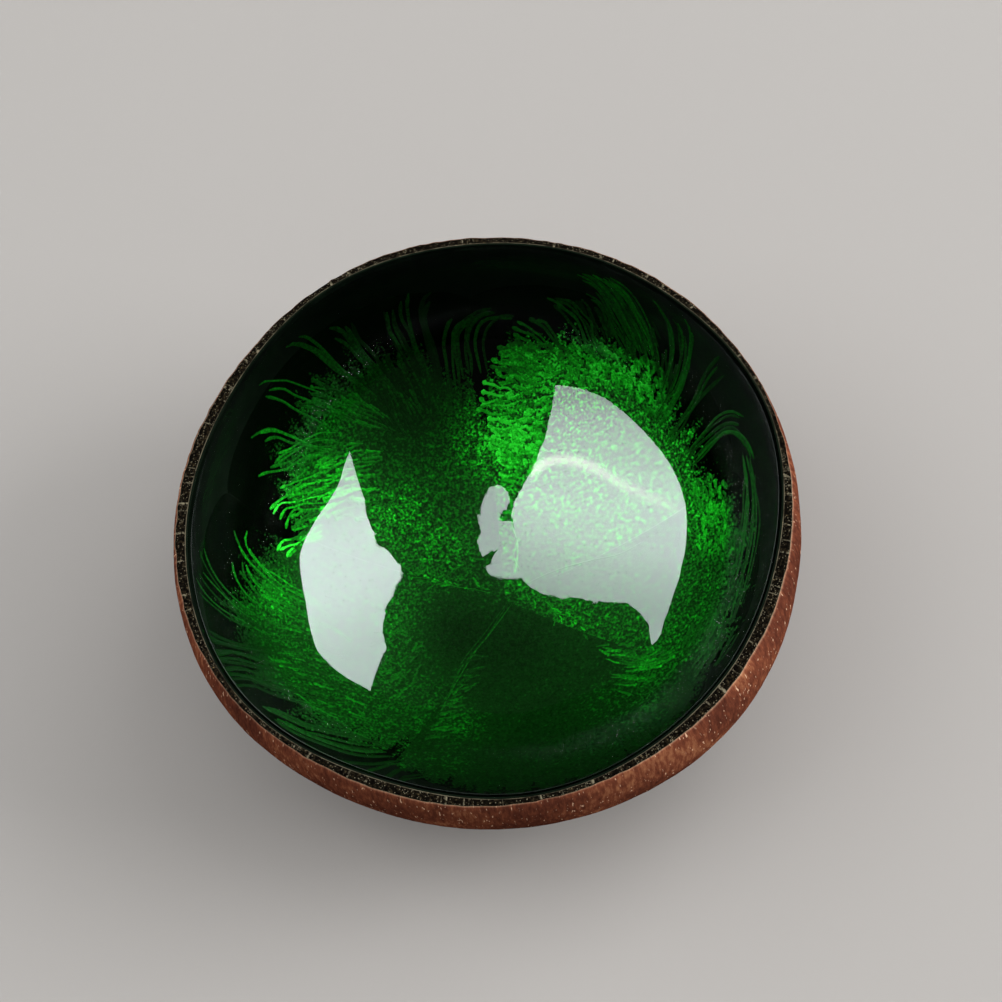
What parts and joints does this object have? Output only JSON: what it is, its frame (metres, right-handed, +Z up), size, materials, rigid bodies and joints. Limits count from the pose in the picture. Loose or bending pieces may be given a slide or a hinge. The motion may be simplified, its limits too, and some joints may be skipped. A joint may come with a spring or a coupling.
{
  "type": "coconut shell bowl",
  "caption": "Round-bottomed bowl made of half a coconut shell, bare and brown outside, with a glossy black lacquered inside that carries a spread flower of green pearl pigment.",
  "frame": {"origin": "middle of the flat sanded underside, which the bowl stands on", "axes": "+Z up towards the mouth; the picture is taken looking along +Y and steeply down; +X to the right"},
  "size_m": [0.1335, 0.1331, 0.058],
  "materials": {
    "coconut_shell": "sanded, satin, with pale longitudinal fibre flecks",
    "black_lacquer": "gloss",
    "green_pearl": "pearl glitter under clear lacquer",
    "clear_lacquer": "high gloss, self levelled"
  },
  "bodies": {
    "root": {"shell": "coconut_shell", "ground_lacquer": "black_lacquer", "petal_north_east": "green_pearl", "petal_north_west": "green_pearl", "petal_south_west": "green_pearl", "petal_south": "green_pearl", "petal_east": "green_pearl", "clear_lacquer": "clear_lacquer"}
  },
  "joints": []
}
